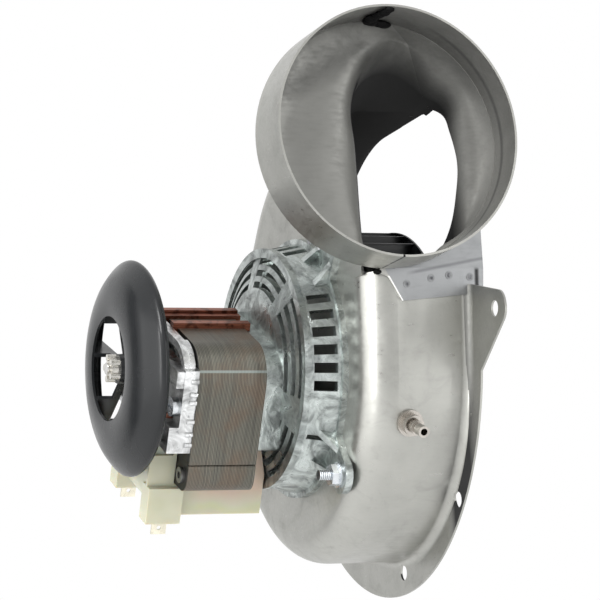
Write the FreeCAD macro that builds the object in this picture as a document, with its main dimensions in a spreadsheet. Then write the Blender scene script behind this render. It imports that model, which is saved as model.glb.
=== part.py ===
import FreeCAD, Part
import math
import os

import Sketcher

V = FreeCAD.Vector

# Combustion fan (draft inducer of a gas furnace).
# Frame: Y is the shaft, with the motor toward -Y and the mounting face at Y = 0;
# +X is the axis of the round outlet collar; +Z is up.  All sizes are in millimetres.
SIZES = {
    # scroll housing, drawn from sheet
    "sheet_t": 0.9, "housing_front": -45.0, "corner_r": 13.0,
    "scroll_r": 78.5, "scroll_x": -5.0, "scroll_z": -2.0,
    "duct_top": 98.0, "duct_floor": 26.0, "duct_start": 53.0, "duct_slope_len": 32.0,
    "flare_start": 72.0, "flare_lean": 2.4, "wall_bend_r": 3.5, "front_hole_r": 9.0, "rear_open_x": 41.5, "rear_open_z": 70.0,
    "rear_open_r": 32.3,
    # mounting flange and ear
    "flange_r": 97.0, "flange_x": -13.2, "flange_z": 2.5, "flange_hole_r": 3.2,
    "flange_bolt_r": 92.0, "low_bolt_r": 88.0, "ear_x": 98.7, "ear_z": 6.7,
    # outlet collar
    "collar_r": 50.8, "collar_back": 81.6, "collar_rim": 104.0, "collar_y": -38.5,
    "collar_z": 76.5, "seam_y": -37.5,
    # pressure tap
    "tap_angle": -23.6, "tap_y": -26.8, "tap_base_r": 5.4, "tap_base_h": 1.6, "tap_body_r": 4.2,
    "tap_body_h": 5.6, "tap_neck_r": 2.3, "tap_neck_h": 7.4, "tap_barb_r": 2.9,
    "tap_barb_h": 9.2, "tap_tip_r": 2.35, "tap_len": 15.0, "tap_bore_r": 1.4,
    "tap_stem_end": -4.6, "tap_nut_start": -1.2, "tap_nut_end": -4.0, "tap_nut_r": 5.2,
    # vented motor mount
    "cup_base_r": 52.0, "cup_lip_r": 48.8, "cup_lip_y": -60.5, "cup_wall": 3.0,
    "grille_r": 30.0, "grille_y": -66.0, "window_pitch": 8.4, "window_width": 4.1,
    "lug_r": 66.0, "lug_pad_r": 7.5, "lug_t": 3.0, "stud_r": 2.05, "stud_end": -57.0,
    "nut_flat": 7.9, "nut_h": 4.2,
    # motor
    "motor_roll": 30.0, "stack_front": -72.5, "stack_rear": -101.5, "frame_half": 34.0,
    "frame_top": 18.5, "frame_joint": -29.0, "bar_bottom": -42.0, "window_half": 21.0,
    "window_top": -17.0, "stator_bore_r": 13.0, "rotor_r": 12.6, "screw_x": 28.0,
    "screw_z": -6.0, "screw_r": 2.0, "rivet_z": -35.5, "rivet_r": 1.7,
    # shaft and rotating pieces
    "shaft_r": 2.38, "shaft_rear": -129.2, "shaft_front": -24.0, "zero": 0.0,
    "rotor_front": -73.5, "rotor_rear": -100.5, "bearing_r": 6.4, "bearing_bore": 2.43,
    "bearing_half": 3.6, "front_bearing_y": -62.6, "rear_bearing_y": -107.4, "wheel_r": 57.0, "wheel_front": -40.8, "wheel_back": -4.0,
    "blade_in_r": 45.0, "wheel_ring_y": -3.2, "plate_front": -40.8, "plate_rear": -39.9,
    "hub_r": 8.0, "hub_rear": -27.0, "hub_bore": 2.4,
    # cooling fan
    "fan_r": 44.0, "fan_hole_r": 21.3, "fan_front": -128.5, "fan_lip_y": -117.0,
    "fan_hub_r": 6.0, "fan_hub_rear": -112.5, "fan_hub_front": -124.6, "clip_front": -127.8,
    "clip_in": 2.45, "clip_out": 4.4,
}
WINDOWS_PER_GROUP = 6
WINDOW_GROUPS = (24.0, 103.0, 156.0, 240.0)
LUG_ANGLES = (-50.0, 42.0, 176.0)
FLANGE_HOLE_ANGLES = (-45.0, -135.0, 180.0, 135.0)
LOW_HOLE_ANGLE = -86.0
BLADES = 36
FAN_BLADES = 7

doc = FreeCAD.newDocument("combustion_fan")
sheet = doc.addObject("Spreadsheet::Sheet", "Sizes")
for row, (alias, number) in enumerate(SIZES.items(), start=1):
    sheet.set("A%d" % row, alias)
    sheet.set("B%d" % row, str(number))
    sheet.setAlias("B%d" % row, alias)
doc.recompute()

# Sizes are read back from the sheet, so an edited cell reaches every piece.
size = {alias: float(sheet.get(alias)) for alias in SIZES}
nodes = []


# ---------------------------------------------------------------- shape helpers
def cyl(radius, y0, y1, x=0.0, z=0.0):
    """Cylinder along Y between two Y positions."""
    return Part.makeCylinder(radius, y1 - y0, V(x, y0, z), V(0, 1, 0))


def cone(r0, y0, r1, y1):
    """Frustum about the shaft: radius r0 at y0, radius r1 at y1, with y0 < y1."""
    return Part.makeCone(r0, r1, y1 - y0, V(0, y0, 0), V(0, 1, 0))


def tube(outer, inner, y0, y1, x=0.0, z=0.0):
    return cyl(outer, y0, y1, x, z).cut(cyl(inner, y0 - 1, y1 + 1, x, z))


def box(x0, x1, y0, y1, z0, z1):
    return Part.makeBox(x1 - x0, y1 - y0, z1 - z0, V(x0, y0, z0))


def spin(shape, degrees):
    """Copy turned about the shaft; positive takes +X toward +Z."""
    copy = shape.copy()
    copy.rotate(V(0, 0, 0), V(0, 1, 0), -degrees)
    return copy


def polar(radius, degrees):
    angle = math.radians(degrees)
    return radius * math.cos(angle), radius * math.sin(angle)


def prism(wire, y0, y1):
    """Solid swept along Y from a closed wire drawn at Y = 0."""
    face = Part.Face(wire)
    face.translate(V(0, y0, 0))
    return face.extrude(V(0, y1 - y0, 0))


def rounded_polygon(corners):
    """Closed wire in the XZ plane; each corner is (x, z, rounding radius)."""
    edges = []
    joints = []
    count = len(corners)
    for index in range(count):
        x, z, radius = corners[index]
        here = V(x, 0, z)
        before = (V(corners[index - 1][0], 0, corners[index - 1][1]) - here).normalize()
        following = corners[(index + 1) % count]
        after = (V(following[0], 0, following[1]) - here).normalize()
        half = before.getAngle(after) / 2
        reach = radius / math.tan(half)
        middle = (before + after).normalize() * (radius / math.sin(half) - radius)
        joints.append((here + before * reach, here + middle, here + after * reach, radius))
    for index in range(count):
        start, mid, end, radius = joints[index]
        if radius > 0:
            edges.append(Part.Arc(start, mid, end).toShape())
        onward = joints[(index + 1) % count][0]
        if end.distanceToPoint(onward) > 1e-6:
            edges.append(Part.LineSegment(end, onward).toShape())
    return Part.Wire(edges)


def hexagon(across_flats):
    radius = across_flats / math.sqrt(3)
    return rounded_polygon([polar(radius, 60 * k) + (0.0,) for k in range(6)])


def fuse(first, *others):
    return first.multiFuse(list(others)).removeSplitter()


# ---------------------------------------------------------------- node helpers
def add_shape(label, shape, roll=0.0):
    """A node made from Part functions, turned about the shaft by roll degrees."""
    feature = doc.addObject("Part::Feature", label)
    feature.Label = label
    feature.Shape = shape
    feature.Placement = FreeCAD.Placement(V(0, 0, 0), FreeCAD.Rotation(V(0, 1, 0), roll))
    nodes.append(feature)
    return feature


def bind(target, path, alias):
    target.setExpression(path, "Sizes." + alias)


def body_with_sketch(label, plane):
    body = doc.addObject("PartDesign::Body", label)
    body.Label = label
    sketch = body.newObject("Sketcher::SketchObject", label + "_profile")
    origin = [item for item in body.Origin.OriginFeatures if item.Role == plane][0]
    sketch.AttachmentSupport = [(origin, "")]
    sketch.MapMode = "FlatFace"
    return body, sketch


def closed_profile(sketch, corners):
    """Polygon whose corner coordinates are aliases of the sheet."""
    points = [V(size[h_alias], size[v_alias], 0) for h_alias, v_alias in corners]
    count = len(points)
    for index in range(count):
        sketch.addGeometry(Part.LineSegment(points[index], points[(index + 1) % count]))
    for index in range(count):
        sketch.addConstraint(Sketcher.Constraint("Coincident", index, 2, (index + 1) % count, 1))
    for index, (h_alias, v_alias) in enumerate(corners):
        for kind, alias, axis in (("DistanceX", h_alias, -2), ("DistanceY", v_alias, -1)):
            if size[alias] == 0:
                sketch.addConstraint(Sketcher.Constraint("PointOnObject", index, 1, axis))
            else:
                dim = sketch.addConstraint(
                    Sketcher.Constraint(kind, -1, 1, index, 1, size[alias]))
                bind(sketch, "Constraints[%d]" % dim, alias)


def revolved(label, corners):
    """A body turned about Y; corners are (radius alias, Y alias)."""
    body, sketch = body_with_sketch(label, "XY_Plane")
    closed_profile(sketch, corners)
    doc.recompute()
    turn = body.newObject("PartDesign::Revolution", label + "_turn")
    turn.Profile = sketch
    turn.ReferenceAxis = (sketch, ["V_Axis"])
    turn.Angle = 360
    doc.recompute()
    body.Tip = turn
    doc.recompute()
    nodes.append(body)
    return body


# ---------------------------------------------------------------- scroll housing
def scroll_wire(inset):
    """Scroll outline, moved inward by the inset; the outlet side is left square."""
    cx, cz = size["scroll_x"], size["scroll_z"]
    radius = size["scroll_r"] - inset
    top = size["duct_top"] - inset
    slope = 50.0
    lean = -7.0

    def on_scroll(degrees):
        x, z = polar(radius, degrees)
        return V(cx + x, 0, cz + z)

    wall_foot = on_scroll(lean)
    rise = size["duct_floor"] - inset - wall_foot.z
    wall_head = V(wall_foot.x - rise * math.tan(math.radians(lean)), 0, wall_foot.z + rise)
    slope_foot = on_scroll(90 + slope)
    along = V(math.cos(math.radians(slope)), 0, math.sin(math.radians(slope)))
    slope_head = slope_foot + along * size["duct_slope_len"]
    bend_r = (top - slope_head.z) / (1 - math.cos(math.radians(slope)))
    bend_x = slope_head.x + bend_r * math.sin(math.radians(slope))

    def on_bend(degrees):
        x, z = polar(bend_r, degrees)
        return V(bend_x + x, 0, top - bend_r + z)

    start = size["duct_start"]
    opening = [wall_head]
    if inset > 0:
        mouth = start + 9.0
        opening += [V(mouth, 0, wall_head.z), V(mouth, 0, wall_head.z + 5), V(start, 0, wall_head.z + 5)]
    else:
        opening += [V(start, 0, wall_head.z)]
    opening.append(V(start, 0, top))
    edges = [Part.LineSegment(wall_foot, wall_head).toShape()]
    for first, second in zip(opening, opening[1:]):
        edges.append(Part.LineSegment(first, second).toShape())
    edges.append(Part.LineSegment(opening[-1], V(bend_x, 0, top)).toShape())
    edges.append(Part.Arc(V(bend_x, 0, top), on_bend(90 + slope / 2), slope_head).toShape())
    edges.append(Part.LineSegment(slope_head, slope_foot).toShape())
    edges.append(Part.Arc(slope_foot, on_scroll(220), wall_foot).toShape())
    return Part.Wire(edges)


def scroll_solid(inset, rear):
    """Scroll volume with its front edge rounded like a drawn shell."""
    front = size["housing_front"] + inset
    solid = prism(scroll_wire(inset), front, rear)
    start = size["duct_start"]
    round_edges = []
    for edge in solid.Edges:
        limits = edge.BoundBox
        on_front = abs(limits.YMin - front) < 1e-6 and abs(limits.YMax - front) < 1e-6
        inner_side = limits.XMin > start - 1 and limits.ZMin > size["duct_floor"] - inset - 1
        if on_front and not inner_side:
            round_edges.append(edge)
    return solid.makeFillet(size["corner_r"] - inset, round_edges)


def duct_section(x, inset, blend):
    """Outlet section: from the scroll's rectangle (0) to the collar's circle (1)."""
    samples = 48
    centre_y, centre_z = -24.0, 64.0
    gap = inset + 0.2
    low = (size["housing_front"] + gap, size["duct_floor"] + gap)
    high = (-gap, size["duct_top"] - gap)
    circle = size["collar_r"] - inset - 0.3

    def inside_rectangle(y, z):
        corner = (size["corner_r"] if y < centre_y else 5.0) - inset
        dy = max(low[0] + corner - y, y - high[0] + corner, 0)
        dz = max(low[1] + corner - z, z - high[1] + corner, 0)
        return math.hypot(dy, dz) <= corner

    def inside_circle(y, z):
        return math.hypot(y - size["collar_y"], z - size["collar_z"]) <= circle

    def reach(inside, angle):
        near, far = 0.0, 200.0
        for _ in range(40):
            middle = (near + far) / 2
            if inside(centre_y + middle * math.cos(angle), centre_z + middle * math.sin(angle)):
                near = middle
            else:
                far = middle
        return near

    points = []
    # the roof of the outlet starts to rise early, the other sides flare only at the shoulder
    rise = max(0.0, (x - size["duct_start"]) / (size["collar_back"] - size["duct_start"]))
    for index in range(samples):
        angle = 2 * math.pi * index / samples
        upward = max(0.0, math.sin(angle)) ** 10
        share = blend + max(0.0, min(rise, 1.0) - blend) * upward
        round_reach = reach(inside_circle, angle)
        radius = (1 - share) * reach(inside_rectangle, angle) + share * round_reach
        if blend > 0.5:
            radius = min(radius, round_reach)
        y = centre_y + radius * math.cos(angle)
        z = centre_z + radius * math.sin(angle)
        points.append(V(x + blend * lean(y), y, z))
    curve = Part.BSplineCurve()
    curve.interpolate(points, PeriodicFlag=True)
    return Part.Wire([curve.toShape()])


def lean(y):
    """The shoulder behind the collar lies farther out at the back than at the front."""
    return size["flare_lean"] * (y - size["collar_y"]) / size["collar_r"]


def duct_volumes(inset, x_start):
    """Outlet duct with its flared shoulder, and the round collar, as two volumes."""
    start, back, rim = size["flare_start"], size["collar_back"], size["collar_rim"]
    span = back - start
    mouth = size["duct_start"]
    sections = [duct_section(x_start, inset, 0.0)]
    sections += [duct_section(mouth + share * (start - mouth), inset, 0.0)
                 for share in (0.0, 0.33, 0.67, 1.0)]
    for share, blend in ((0.22, 0.12), (0.42, 0.42), (0.58, 0.80), (1.0, 1.0)):
        sections.append(duct_section(start + share * span + inset, inset, blend))
    flare = Part.makeLoft(sections, True, False)
    end = rim + (2 if inset > 0 else 0)
    centre = V(start, size["collar_y"], size["collar_z"])
    collar = Part.makeCylinder(size["collar_r"] - inset, end - start, centre, V(1, 0, 0))
    low_y, high_y = size["collar_y"] - 60, size["collar_y"] + 60
    first = back + inset - 0.05
    outline = Part.makePolygon([V(first + lean(low_y), low_y, 0), V(first + lean(high_y), high_y, 0),
                                V(rim + 9, high_y, 0), V(rim + 9, low_y, 0),
                                V(first + lean(low_y), low_y, 0)])
    collar = collar.common(Part.Face(outline).extrude(V(0, 0, 200)))
    return flare, collar


def flange_plate():
    """Flat mounting flange with its ear, in the plane of the open back."""
    thick = size["sheet_t"]
    disc = cyl(size["flange_r"], -thick, 0, size["flange_x"], size["flange_z"])
    disc = disc.cut(box(size["duct_start"] - 0.5, 140, -5, 5, 37, 140))
    disc = disc.cut(box(76, 140, -5, 5, 18.5, 140))
    ear = prism(rounded_polygon([(62, 25.1, 0), (107.2, 12.2, 7), (108.6, 3, 6), (80.5, -16.3, 0),
                                 (62, -34, 0)]), -thick, 0)
    return disc.fuse(ear)


def flange_holes():
    """Cutters for the screw holes of the flange."""
    spots = [polar(size["flange_bolt_r"], degrees) for degrees in FLANGE_HOLE_ANGLES]
    spots.append(polar(size["low_bolt_r"], LOW_HOLE_ANGLE))
    cutters = [cyl(size["flange_hole_r"], -5, 5, size["flange_x"] + x, size["flange_z"] + z)
               for x, z in spots]
    cutters.append(cyl(size["flange_hole_r"], -5, 5, size["ear_x"], size["ear_z"]))
    return cutters


def bent_to_flange(solid, level, radius):
    """Round the inner corner where the scroll wall meets the plane y = level."""
    corner = []
    for edge in solid.Edges:
        limits = edge.BoundBox
        if abs(limits.YMin - level) > 1e-6 or abs(limits.YMax - level) > 1e-6:
            continue
        middle = edge.valueAt((edge.FirstParameter + edge.LastParameter) / 2)
        reach = math.hypot(middle.x - size["scroll_x"], middle.z - size["scroll_z"])
        if abs(reach - size["scroll_r"]) < 1.0 and edge.Length > 100:
            corner.append(edge)
    return solid.makeFillet(radius, corner)


def tap_position():
    """Point of the scroll wall under the pressure tap and the outward angle there."""
    x, z = polar(size["scroll_r"], size["tap_angle"])
    return V(size["scroll_x"] + x, size["tap_y"], size["scroll_z"] + z)


def housing_pieces():
    thick, bend = size["sheet_t"], size["wall_bend_r"]
    behind = box(-150, 150, 0, 3, -150, 150)
    scroll_inside = bent_to_flange(scroll_solid(thick, 1.0).fuse(behind), 0.0, bend + thick)
    flow = duct_volumes(thick, size["duct_start"] - 6)
    scroll = bent_to_flange(scroll_solid(0.0, 0.0).fuse(flange_plate()), -thick, bend)
    scroll = without(scroll.cut(scroll_inside), flow)
    for cutter in flange_holes():
        scroll = scroll.cut(cutter)
    flare, collar = [without(volume, flow) for volume in duct_volumes(0.0, size["duct_start"] - 3)]
    duct = flare.cut(scroll_solid(thick, 3.0)).fuse(collar)
    # web that closes the front beside the duct's rounded lower corner
    front_y = size["housing_front"]
    web = box(size["duct_start"] - 1, size["flare_start"], front_y, front_y + thick, 25.2, 36.0)
    shell = scroll.fuse(duct).fuse(without(web, flow))
    shell = shell.cut(cyl(size["rear_open_r"], -3, 8, size["rear_open_x"], size["rear_open_z"]))
    shell = shell.cut(cyl(size["front_hole_r"], size["housing_front"] - 1, size["housing_front"] + 3))
    for degrees in LUG_ANGLES:
        x, z = polar(size["lug_r"], degrees)
        shell = shell.cut(cyl(size["stud_r"], size["housing_front"] - 1,
                              size["housing_front"] + 3, x, z))
    spot = tap_position()
    x, z = polar(1.0, size["tap_angle"])
    shell = shell.cut(Part.makeCylinder(2.9, 12, spot - V(x, 0, z) * 6, V(x, 0, z)))
    seam, first = size["seam_y"], size["duct_start"] + 1
    corners = [(first, -2.6), (first + 4, -3.2), (77.6, -20.0), (87.5, seam), (140, seam), (140, 40),
               (first, 40), (first, -2.6)]
    above = Part.Face(Part.makePolygon([V(x, y, 70) for x, y in corners])).extrude(V(0, 0, 70))
    rear_zone = box(first, 140, seam, 40, size["duct_floor"] - 2, 70).fuse(above)
    front = shell.cut(rear_zone)
    rear = shell.common(rear_zone)
    return biggest(front), biggest(rear), flow


def without(shape, cutters):
    for cutter in cutters:
        shape = shape.cut(cutter)
    return shape


def biggest(shape):
    return max(shape.Solids, key=lambda solid: solid.Volume)


def strap():
    """Plate of the rear outlet piece: folded, with its lower part spot-welded to the scroll wall."""
    thick, low, fold, high = size["sheet_t"], 20.0, 27.0, 46.0

    def plate(outline, base):
        face = Part.Face(Part.makePolygon([V(0, y, z - base) for y, z in outline + outline[:1]]))
        return face.extrude(V(thick, 0, 0))

    lower = plate([(-40.2, 24.9), (-35.9, 23.0), (-30.4, 13.8), (5.0, 17.2), (5.2, fold), (-40.2, fold)], low)
    for y, z in ((-28.4, 20.5), (-17.8, 22.8), (-10.0, 24.1), (-0.8, 23.4)):
        lower = lower.fuse(Part.makeCylinder(1.5, 0.3, V(thick - 0.15, y, z - low), V(1, 0, 0)))
    lower.rotate(V(0, 0, 0), V(0, 1, 0), 7.0)
    lower.translate(V(76.9, 0, low))
    upper = plate([(-40.2, fold - 0.3), (5.2, fold - 0.3), (5.4, high), (-30.0, high), (-40.2, 30.0)], fold)
    upper.translate(V(77.75, 0, fold))
    return lower.fuse(upper)


def sealant():
    """Sealant over the two seams of the collar: a bent bead inside the top, a dab below."""
    rim, radius = size["collar_rim"], size["collar_r"]
    centre = V(size["collar_back"] - 6, size["collar_y"], size["collar_z"])
    length = rim - size["collar_back"] + 6.4
    lining = Part.makeCylinder(radius - size["sheet_t"] - 0.02, length, centre, V(1, 0, 0))
    lining = lining.cut(Part.makeCylinder(radius - 3.0, length, centre, V(1, 0, 0)))
    lip = Part.makeCylinder(radius - 0.1, 0.4, V(rim, size["collar_y"], size["collar_z"]), V(1, 0, 0))
    lip = lip.cut(Part.makeCylinder(radius - 3.0, 0.4, V(rim, size["collar_y"], size["collar_z"]),
                                    V(1, 0, 0)))
    bent = [(106, -42.4), (106, -35.2), (98, -36.4), (92.5, -38.2), (88.5, -29.0), (84.8, -30.5),
            (86.6, -41.5), (92, -43.4), (106, -42.4)]
    bead = Part.Face(Part.makePolygon([V(x, y, 110) for x, y in bent])).extrude(V(0, 0, 25))
    low = Part.makeSphere(2.3, V(77.9, size["seam_y"] - 2.6, 25.4))
    low = low.cut(Part.makeCylinder(60, 20, V(78.9, size["collar_y"], size["collar_z"]), V(1, 0, 0)))
    return lining.fuse(lip).common(bead), low


housing, outlet, flow = housing_pieces()
bead_top, bead_low = sealant()
outlet = outlet.fuse(without(strap(), flow)).cut(housing)
housing = housing.cut(bead_top)
outlet = outlet.cut(bead_top)
bead_low = biggest(bead_low.cut(housing).cut(outlet))
add_shape("scroll_housing", biggest(housing))
add_shape("outlet_rear", biggest(outlet))
add_shape("seam_sealant", Part.makeCompound([bead_top, bead_low]))

# ---------------------------------------------------------------- pressure tap
tap = revolved("pressure_tap", [
    ("tap_bore_r", "tap_stem_end"), ("tap_neck_r", "tap_stem_end"), ("tap_neck_r", "zero"),
    ("tap_base_r", "zero"), ("tap_base_r", "tap_base_h"), ("tap_body_r", "tap_base_h"),
    ("tap_body_r", "tap_body_h"), ("tap_neck_r", "tap_body_h"), ("tap_neck_r", "tap_neck_h"),
    ("tap_barb_r", "tap_neck_h"), ("tap_barb_r", "tap_barb_h"), ("tap_tip_r", "tap_barb_h"),
    ("tap_tip_r", "tap_len"), ("tap_bore_r", "tap_len")])
tap_nut = revolved("tap_nut", [
    ("tap_neck_r", "tap_nut_end"), ("tap_nut_r", "tap_nut_end"), ("tap_nut_r", "tap_nut_start"),
    ("tap_neck_r", "tap_nut_start")])
tap_x, tap_z = polar(1.0, size["tap_angle"])
tap_turn = FreeCAD.Rotation(V(0, 1, 0), V(tap_x, 0, tap_z))
for piece in (tap, tap_nut):
    piece.Placement = FreeCAD.Placement(tap_position(), tap_turn)


# ---------------------------------------------------------------- motor mount
def neck_wire(inset):
    half, top, low = size["frame_half"] - 1.0 - inset, size["frame_top"] - 1.0 - inset, -25.0 + inset
    return rounded_polygon([(half, low, 5.0 - inset / 2), (half, top, 14.0 - inset),
                            (-half, top, 14.0 - inset), (-half, low, 5.0 - inset / 2)])


def arc_slot(inner, outer, middle, sweep):
    """Concentric slot through the grille, as a cutting solid."""
    start = middle - sweep / 2
    ring = Part.makeCylinder(outer, 20, V(0, -75, 0), V(0, 1, 0), sweep)
    ring = ring.cut(cyl(inner, -76, -54))
    # makeCylinder starts its sweep on +Z and turns toward +X about +Y
    return spin(ring, start + sweep - 90)


def lug(degrees):
    """Foot of the mount with its hole, and the rib that ties it to the cup."""
    front, thick = size["housing_front"], size["lug_t"]
    reach = size["lug_r"]
    pad = size["lug_pad_r"]
    foot = prism(rounded_polygon([(44, -11, 0), (reach, -pad, pad - 0.5), (reach + pad, -pad, pad - 0.5),
                                  (reach + pad, pad, pad - 0.5), (reach, pad, pad - 0.5), (44, 11, 0)]),
                 front - thick, front)
    rib = prism(rounded_polygon([(46, -10, 0), (reach - 4.8, -7, 0), (reach - 4.8, -4.6, 0), (46, -7, 0)]),
                front - 11, front)
    other = prism(rounded_polygon([(46, 7, 0), (reach - 4.8, 4.6, 0), (reach - 4.8, 7, 0), (46, 10, 0)]),
                  front - 11, front)
    ribs = rib.fuse(other).common(cone(46, front - 11, 64, front))
    shape = foot.fuse(ribs)
    shape = shape.cut(cyl(size["stud_r"] + 0.15, front - 20, front + 1, reach, 0))
    return spin(shape, degrees)


def motor_mount():
    front = size["housing_front"]
    wall = size["cup_wall"]
    lip_y, grille_y = size["cup_lip_y"], size["grille_y"]
    lip_r, base_r, grille_r = size["cup_lip_r"], size["cup_base_r"], size["grille_r"]
    cup = cone(lip_r, lip_y, base_r, front).cut(cone(lip_r - wall, lip_y, base_r - wall, front))
    rim = tube(base_r + 1.6, base_r - wall - 0.5, front - 2.4, front)
    bead = tube(lip_r + 0.8, lip_r - wall, lip_y - 1.6, lip_y + 1.2)
    grille = cone(grille_r, grille_y, lip_r - 0.5, lip_y)
    grille = grille.cut(cone(grille_r, grille_y + 2.6, lip_r - 0.5, lip_y + 2.6))
    cuts = []
    width = size["window_width"]
    window = box(40, 60, lip_y + 2.4, front - 3.6, -width / 2, width / 2)
    for first in WINDOW_GROUPS:
        for index in range(WINDOWS_PER_GROUP):
            cuts.append(spin(window, first - index * size["window_pitch"]))
    cuts.append(spin(box(40, 60, lip_y + 2.4, front - 4.6, -1.1, 1.1), -43.6))
    for middle, sweep in ((118, 52), (62, 40), (176, 44), (232, 52), (292, 44), (2, 56)):
        for inner, outer in ((43.0, 45.6), (38.2, 40.8), (33.4, 36.0)):
            cuts.append(arc_slot(inner, outer, middle, sweep))
    cage = cup.fuse(rim).fuse(bead).fuse(grille)
    cage = cage.cut(Part.makeCompound(cuts))
    neck = prism(neck_wire(0.0), size["stack_front"], lip_y)
    hollow = prism(neck_wire(3.0), size["stack_front"] - 1, lip_y + 3)
    neck.rotate(V(0, 0, 0), V(0, 1, 0), size["motor_roll"])
    hollow.rotate(V(0, 0, 0), V(0, 1, 0), size["motor_roll"])
    boss = tube(9.5, 6.45, -70.0, -57.5)
    webs = [box(-1.5, 1.5, -69.5, lip_y, -24, 17), box(-32, 32, -69.5, lip_y, -1.5, 1.5)]
    web = webs[0].fuse(webs[1]).cut(cyl(9.0, -75, -50))
    web.rotate(V(0, 0, 0), V(0, 1, 0), size["motor_roll"])
    bosses = []
    for side in (-1, 1):
        pillar = cyl(4.6, size["stack_front"], lip_y, side * size["screw_x"], size["screw_z"])
        pillar.rotate(V(0, 0, 0), V(0, 1, 0), size["motor_roll"])
        bosses.append(pillar)
    body = cage.cut(prism_between(neck_wire(3.0), lip_y)).fuse(neck.cut(hollow)).fuse(boss).fuse(web)
    for pillar in bosses:
        body = body.fuse(pillar)
    for side in (-1, 1):
        hole = cyl(size["screw_r"], size["stack_front"] - 1, -64.5, side * size["screw_x"], size["screw_z"])
        hole.rotate(V(0, 0, 0), V(0, 1, 0), size["motor_roll"])
        body = body.cut(hole)
    for x0, x1 in ((-16.1, -8.1), (-0.9, 3.7)):
        relief = box(x0, x1, size["stack_front"] - 1, size["stack_front"] + 2.6, 5, 30)
        relief.rotate(V(0, 0, 0), V(0, 1, 0), size["motor_roll"])
        body = body.cut(relief)
    for degrees in LUG_ANGLES:
        body = body.fuse(lug(degrees).cut(cyl(lip_r - wall, lip_y, front + 1)))
    return biggest(body)


def prism_between(wire, lip_y):
    """Clear space of the neck where it meets the grille."""
    solid = prism(wire, lip_y - 8, lip_y + 6)
    solid.rotate(V(0, 0, 0), V(0, 1, 0), size["motor_roll"])
    return solid


add_shape("motor_mount", motor_mount())

studs, nuts = [], []
for degrees in LUG_ANGLES:
    x, z = polar(size["lug_r"], degrees)
    front = size["housing_front"]
    head_y = front + size["sheet_t"]
    stud = cyl(size["stud_r"], size["stud_end"], head_y, x, z).fuse(cyl(3.8, head_y, head_y + 1.2, x, z))
    studs.append(biggest(stud.cut(housing)))
    seat = front - size["lug_t"]
    nut = prism(hexagon(size["nut_flat"]), seat - size["nut_h"], seat - 0.8)
    nut = nut.fuse(cyl(5.2, seat - 1.0, seat)).cut(cyl(size["stud_r"], seat - 9, seat + 1))
    nut.translate(V(x, 0, z))
    nuts.append(nut)
add_shape("mount_studs", Part.makeCompound(studs))
add_shape("mount_nuts", Part.makeCompound(nuts))


# ---------------------------------------------------------------- motor
def shading_loop(x0, x1, z_low, z_high, bar):
    """Closed copper loop through the core, standing proud of both faces."""
    front, rear = size["stack_front"] + 2.2, size["stack_rear"] - 2.2
    outer = box(x0, x1, rear, front, z_low, z_high)
    return outer.cut(box(x0 - 1, x1 + 1, rear + 2.2, front - 2.2, z_low + bar, z_high - bar))


def frame_wire():
    half, top, joint = size["frame_half"], size["frame_top"], size["frame_joint"]
    inner, window = size["window_half"], size["window_top"]
    return rounded_polygon([
        (half, joint, 0), (half, top, 14.5), (-half, top, 14.5), (-half, joint, 0),
        (-inner, joint, 0), (-inner, window, 3), (inner, window, 3), (inner, joint, 0)])


loops = [shading_loop(-15.6, -12.4, 6.0, 21.0, 2.3), shading_loop(-0.4, 3.2, 13.3, 20.8, 2.3),
         shading_loop(-11.6, -8.6, 10.0, 19.9, 2.3)]
core = prism(frame_wire(), size["stack_rear"], size["stack_front"])
core = core.cut(cyl(size["stator_bore_r"], -110, -60))
for loop in loops:
    core = core.cut(loop)
for side in (-1, 1):
    core = core.cut(cyl(size["screw_r"] + 0.2, -110, -60, side * size["screw_x"], size["screw_z"]))
    core = core.cut(box(side * size["frame_half"] - 1.0, side * size["frame_half"] + 1.0, -110, -60,
                        9.6, 11.4))
bar = prism(rounded_polygon([
    (size["frame_half"], size["frame_joint"] - 0.05, 2), (size["frame_half"], size["bar_bottom"], 6.2),
    (-size["frame_half"], size["bar_bottom"], 6.2), (-size["frame_half"], size["frame_joint"] - 0.05, 2)]),
    size["stack_rear"], size["stack_front"])
rivets = []
for side in (-1, 1):
    x = side * (size["screw_x"] - 0.3)
    shank = cyl(size["rivet_r"], size["stack_rear"], size["stack_front"], x, size["rivet_z"])
    bar = bar.cut(shank)
    heads = [tube(3.3, 1.5, size["stack_front"], size["stack_front"] + 1.4, x, size["rivet_z"]),
             tube(3.3, 1.5, size["stack_rear"] - 1.4, size["stack_rear"], x, size["rivet_z"])]
    rivets.append(shank.fuse(heads[0]).fuse(heads[1]))
add_shape("stator_core", core, size["motor_roll"])
add_shape("coil_bar", bar, size["motor_roll"])
add_shape("stator_rivets", Part.makeCompound(rivets), size["motor_roll"])
add_shape("shading_rings", Part.makeCompound(loops), size["motor_roll"])

# The coil fills the window above the bar and wraps round the bar outside the core.
tube_outer = box(-20.6, 20.6, -103.3, -70.7, -43.6, -27.4)
tube_hole = box(-30, 30, -101.8, -72.2, -42.3, -28.7)
flange_shape = box(18.9, 20.6, -98.5, -62.0, -56.0, -18.0)
block = box(15.5, 24.0, -113.2, -98.4, -58.6, -43.2)
shelf = box(18.9, 20.6, -113.2, -98.4, -45.0, -30.0)
above_window = [box(-40, 40, -72.7, -50, -26.4, 0), box(-40, 40, -130, -101.3, -26.4, 0)]
grille_space = cone(size["grille_r"] + 1, size["grille_y"] - 0.5, size["cup_lip_r"] + 1, size["cup_lip_y"] - 0.5)
grille_space = grille_space.fuse(cyl(size["grille_r"] + 1, size["grille_y"] - 0.5, -50))
above_window.append(grille_space.fuse(cyl(60, size["cup_lip_y"] - 2.2, -50)))
side_parts = []
for side in (-1, 1):
    part = flange_shape.fuse(block).fuse(shelf)
    if side < 0:
        part = part.mirror(V(0, 0, 0), V(1, 0, 0))
    side_parts.append(part)
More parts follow.
